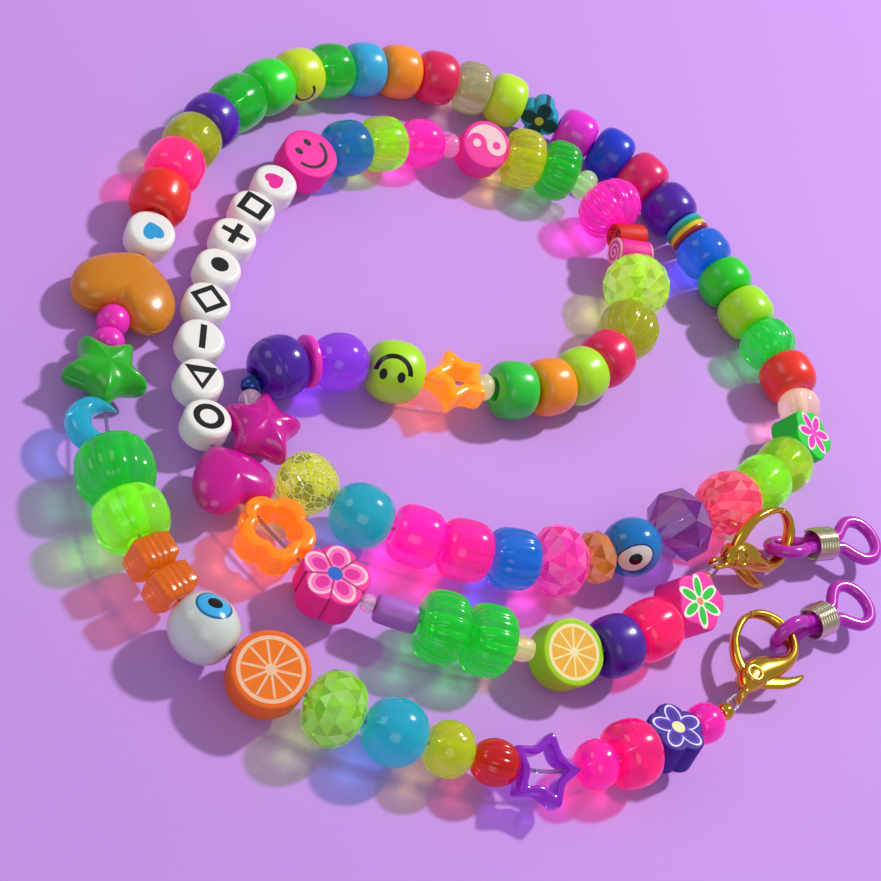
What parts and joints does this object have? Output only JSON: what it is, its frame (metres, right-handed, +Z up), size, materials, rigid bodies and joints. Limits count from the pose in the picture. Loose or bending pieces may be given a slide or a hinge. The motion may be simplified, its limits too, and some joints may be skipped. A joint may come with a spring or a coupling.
{
  "type": "eyeglasses chain strap",
  "caption": "Strand of mixed acrylic and clay beads on an elastic cord, ending in lobster clasps that carry silicone loops for the temple arms of a pair of glasses.",
  "frame": {"origin": "on the table the strap lies on, under the middle of its bounding box", "axes": "+Z up from the table; +Y towards the long arc of pony beads; +X towards the clasps and silicone loops"},
  "size_m": [0.1214, 0.1294, 0.0109],
  "materials": {
    "clay_flower_block": "cut polymer clay",
    "pony_run_lemon": "moulded acrylic, polished",
    "spacer_near_b": "transparent acrylic, polished",
    "fluted_run_green": "transparent acrylic, polished",
    "tube_bead": "transparent acrylic, polished",
    "clay_flower_pink": "cut polymer clay",
    "flower_window_bead": "transparent acrylic, polished",
    "heart_magenta": "moulded acrylic, polished",
    "letter_coin_run": "white acrylic coins with printed marks",
    "clay_smiley_pink": "cut polymer clay",
    "pony_run_blue_lime": "transparent acrylic, polished",
    "yinyang_and_fluted_run": "moulded acrylic, polished",
    "pumpkin_magenta": "transparent acrylic, polished",
    "cane_and_swirl_discs": "cut polymer clay",
    "gem_lime_pair": "transparent acrylic, polished",
    "pony_run_crimson_orange": "moulded acrylic, polished",
    "star_window_bead": "transparent acrylic, polished",
    "smiley_bead_lime": "moulded acrylic, polished",
    "ball_purple": "transparent acrylic, polished",
    "corner_run": "moulded acrylic, polished",
    "star_magenta": "moulded acrylic, polished",
    "ball_crackle": "transparent acrylic, polished",
    "ball_teal": "transparent acrylic, polished",
    "pony_run_magenta_blue": "transparent acrylic, polished",
    "gem_pair_pink_amber": "transparent acrylic, polished",
    "evil_eye_ball": "transparent acrylic, polished",
    "gem_purple": "transparent acrylic, polished",
    "gem_peach": "transparent acrylic, polished",
    "pony_run_clay_green": "transparent acrylic, polished",
    "pony_run_right": "moulded acrylic, polished",
    "pearl_and_pony_run_top": "moulded acrylic, polished",
    "heart_amber": "moulded acrylic, polished",
    "ball_magenta_upper": "moulded acrylic, polished",
    "ball_and_star_green": "moulded acrylic, polished",
    "moon_teal": "transparent acrylic, polished",
    "fluted_run_and_amber_blocks": "transparent acrylic, polished",
    "eyeball_ball": "moulded acrylic, polished",
    "orange_slice": "cut polymer clay",
    "gem_green": "transparent acrylic, polished",
    "ball_run_teal_yellow": "transparent acrylic, polished",
    "ball_red": "transparent acrylic, polished",
    "star_frame_purple": "transparent acrylic, polished",
    "pony_run_near_a": "transparent acrylic, polished",
    "clay_flower_purple": "cut polymer clay",
    "ball_swirl_pink": "moulded acrylic, polished",
    "gold_plate": "bright gold plating",
    "spring_steel": "spring temper",
    "silicone": "glossy translucent silicone tube",
    "pale_gold_wire": "pale gold drawn wire",
    "cord": "thin dark elastic thread"
  },
  "bodies": {
    "main_strand": {"spacer_near_b": "spacer_near_b", "fluted_run_green": "fluted_run_green", "tube_bead": "tube_bead", "clay_flower_pink": "clay_flower_pink", "flower_window_bead": "flower_window_bead", "heart_magenta": "heart_magenta", "letter_coin_run": "letter_coin_run", "pony_run_blue_lime": "pony_run_blue_lime", "yinyang_and_fluted_run": "yinyang_and_fluted_run", "cane_and_swirl_discs": "cane_and_swirl_discs", "gem_lime_pair": "gem_lime_pair", "pony_run_crimson_orange": "pony_run_crimson_orange", "star_window_bead": "star_window_bead", "ball_purple": "ball_purple", "corner_run": "corner_run", "star_magenta": "star_magenta", "pony_run_magenta_blue": "pony_run_magenta_blue", "gem_pair_pink_amber": "gem_pair_pink_amber", "pony_run_clay_green": "pony_run_clay_green", "pony_run_right": "pony_run_right", "elastic_cord": "cord"},
    "clasp_b": {"clasp_body_b": "gold_plate", "clasp_rivet_b": "gold_plate", "clasp_spring_b": "spring_steel"},
    "lever_b": {"clasp_lever_b": "gold_plate"},
    "loop_b": {"temple_loop_b": "silicone"},
    "coil_b": {"loop_coil_b": "pale_gold_wire"},
    "clasp_a": {"clasp_body_a": "gold_plate", "clasp_rivet_a": "gold_plate", "clasp_spring_a": "spring_steel"},
    "lever_a": {"clasp_lever_a": "gold_plate"},
    "loop_a": {"temple_loop_a": "silicone"},
    "coil_a": {"loop_coil_a": "pale_gold_wire"},
    "spin_pumpkin_magenta": {"pumpkin_magenta": "pumpkin_magenta"},
    "spin_smiley_bead_lime": {"smiley_bead_lime": "smiley_bead_lime"},
    "spin_ball_crackle": {"ball_crackle": "ball_crackle"},
    "spin_ball_teal": {"ball_teal": "ball_teal"},
    "spin_evil_eye_ball": {"evil_eye_ball": "evil_eye_ball"},
    "spin_gem_purple": {"gem_purple": "gem_purple"},
    "spin_gem_peach": {"gem_peach": "gem_peach"},
    "spin_clay_smiley_pink": {"clay_smiley_pink": "clay_smiley_pink"},
    "spin_orange_slice": {"orange_slice": "orange_slice"},
    "spin_gem_green": {"gem_green": "gem_green"},
    "spin_star_frame_purple": {"star_frame_purple": "star_frame_purple"},
    "spin_clay_flower_purple": {"clay_flower_purple": "clay_flower_purple"},
    "end_strand_b": {"clay_flower_block": "clay_flower_block", "pony_run_lemon": "pony_run_lemon", "crimp_bead_b": "gold_plate"},
    "top_arc": {"pearl_and_pony_run_top": "pearl_and_pony_run_top", "heart_amber": "heart_amber", "ball_magenta_upper": "ball_magenta_upper"},
    "left_arc": {"ball_and_star_green": "ball_and_star_green", "moon_teal": "moon_teal", "fluted_run_and_amber_blocks": "fluted_run_and_amber_blocks", "eyeball_ball": "eyeball_ball"},
    "bottom_arc": {"ball_run_teal_yellow": "ball_run_teal_yellow", "ball_red": "ball_red"},
    "end_strand_a": {"pony_run_near_a": "pony_run_near_a", "ball_swirl_pink": "ball_swirl_pink", "crimp_bead_a": "gold_plate"}
  },
  "joints": [
    {"name": "lift_end_b", "type": "hinge", "parent": "main_strand", "child": "end_strand_b", "pos_m": [-0.00173, -0.04284, 0.00483], "axis": [-0.084, -0.9965, 0], "range_deg": [0, 35], "deforming": ["elastic_cord"]},
    {"name": "fold_outer_ring", "type": "hinge", "parent": "main_strand", "child": "top_arc", "pos_m": [0.02354, 0.05429, 0.00451], "axis": [-0.8948, 0.4465, 0], "range_deg": [0, 40], "deforming": ["elastic_cord"]},
    {"name": "flex_left", "type": "hinge", "parent": "top_arc", "child": "left_arc", "pos_m": [-0.05338, 0.00262, 0.00334], "axis": [0, 0, 1], "range_deg": [-12, 0], "deforming": ["elastic_cord"]},
    {"name": "flex_eyeball", "type": "hinge", "parent": "left_arc", "child": "bottom_arc", "pos_m": [-0.0443, -0.04434, 0.00511], "axis": [0, 0, 1], "range_deg": [-25, 0], "deforming": ["elastic_cord"]},
    {"name": "lift_end_a", "type": "hinge", "parent": "bottom_arc", "child": "end_strand_a", "pos_m": [-0.00801, -0.05941, 0.00471], "axis": [-0.1823, -0.9832, 0], "range_deg": [0, 35], "deforming": ["elastic_cord"]},
    {"name": "spin_pumpkin_magenta", "type": "hinge", "parent": "main_strand", "child": "spin_pumpkin_magenta", "pos_m": [0.02606, 0.03796, 0.00565], "axis": [0.4529, -0.8905, 0.0437], "continuous": true},
    {"name": "spin_smiley_bead_lime", "type": "hinge", "parent": "main_strand", "child": "spin_smiley_bead_lime", "pos_m": [-0.01427, -0.00026, 0.00486], "axis": [-0.9978, 0.0661, 0.0108], "continuous": true},
    {"name": "spin_ball_crackle", "type": "hinge", "parent": "main_strand", "child": "spin_ball_crackle", "pos_m": [-0.02877, -0.02061, 0.00445], "axis": [0.6763, -0.7299, 0.0992], "continuous": true},
    {"name": "spin_ball_teal", "type": "hinge", "parent": "main_strand", "child": "spin_ball_teal", "pos_m": [-0.02182, -0.02497, 0.00479], "axis": [0.9313, -0.3642, 0.001], "continuous": true},
    {"name": "spin_evil_eye_ball", "type": "hinge", "parent": "main_strand", "child": "spin_evil_eye_ball", "pos_m": [0.01735, -0.02538, 0.00545], "axis": [0.8995, 0.4355, 0.0359], "continuous": true},
    {"name": "spin_gem_purple", "type": "hinge", "parent": "main_strand", "child": "spin_gem_purple", "pos_m": [0.0256, -0.02088, 0.0057], "axis": [0.8727, 0.4882, 0.0047], "continuous": true},
    {"name": "spin_gem_peach", "type": "hinge", "parent": "main_strand", "child": "spin_gem_peach", "pos_m": [0.03479, -0.01581, 0.00542], "axis": [0.8642, 0.5013, -0.0437], "continuous": true},
    {"name": "spin_clay_smiley_pink", "type": "hinge", "parent": "main_strand", "child": "spin_clay_smiley_pink", "pos_m": [-0.02374, 0.03729, 0.00431], "axis": [0.7695, 0.6368, 0.0487], "continuous": true},
    {"name": "spin_orange_slice", "type": "hinge", "parent": "bottom_arc", "child": "spin_orange_slice", "pos_m": [-0.03676, -0.05007, 0.00521], "axis": [0.8659, -0.4997, 0.022], "continuous": true},
    {"name": "spin_gem_green", "type": "hinge", "parent": "bottom_arc", "child": "spin_gem_green", "pos_m": [-0.02868, -0.05401, 0.00528], "axis": [0.9282, -0.3719, -0.0115], "continuous": true},
    {"name": "spin_star_frame_purple", "type": "hinge", "parent": "end_strand_a", "child": "spin_star_frame_purple", "pos_m": [-0.00066, -0.06002, 0.0045], "axis": [0.9982, 0.0589, -0.0103], "continuous": true},
    {"name": "spin_clay_flower_purple", "type": "hinge", "parent": "end_strand_a", "child": "spin_clay_flower_purple", "pos_m": [0.01782, -0.05409, 0.00452], "axis": [0.9053, 0.4225, -0.0439], "continuous": true},
    {"name": "hang_clasp_b", "type": "hinge", "parent": "end_strand_b", "child": "clasp_b", "pos_m": [0.03085, -0.02637, 0.0055], "axis": [0.3018, -0.5675, -0.766], "range_deg": [0, 35], "deforming": ["elastic_cord"]},
    {"name": "lever_b", "type": "hinge", "parent": "clasp_b", "child": "lever_b", "pos_m": [0.03385, -0.02477, 0.0055], "axis": [0.3596, -0.6764, 0.6428], "range_deg": [-14, 0], "stiffness_Nm_per_rad": 0.004, "deforming": ["clasp_spring_b"]},
    {"name": "swing_loop_b", "type": "hinge", "parent": "clasp_b", "child": "loop_b", "pos_m": [0.04406, -0.02103, 0.00373], "axis": [-0.2748, -0.7351, -0.6197], "range_deg": [0, 40]},
    {"name": "slide_coil_b", "type": "slide", "parent": "loop_b", "child": "coil_b", "axis": [0.9781, 0.2079, 0], "range_m": [0, 0.0012]},
    {"name": "hang_clasp_a", "type": "hinge", "parent": "end_strand_a", "child": "clasp_a", "pos_m": [0.03067, -0.04618, 0.0038], "axis": [0.8192, -0.5736, 0], "range_deg": [0, 60], "deforming": ["elastic_cord"]},
    {"name": "lever_a", "type": "hinge", "parent": "clasp_a", "child": "lever_a", "pos_m": [0.03262, -0.04339, 0.0038], "axis": [0, 0, 1], "range_deg": [-14, 0], "stiffness_Nm_per_rad": 0.004, "deforming": ["clasp_spring_a"]},
    {"name": "swing_loop_a", "type": "hinge", "parent": "clasp_a", "child": "loop_a", "pos_m": [0.04069, -0.03589, 0.0038], "axis": [0.3256, -0.9455, 0], "range_deg": [0, 50]},
    {"name": "slide_coil_a", "type": "slide", "parent": "loop_a", "child": "coil_a", "axis": [0.891, 0.454, 0], "range_m": [0, 0.0012]}
  ]
}
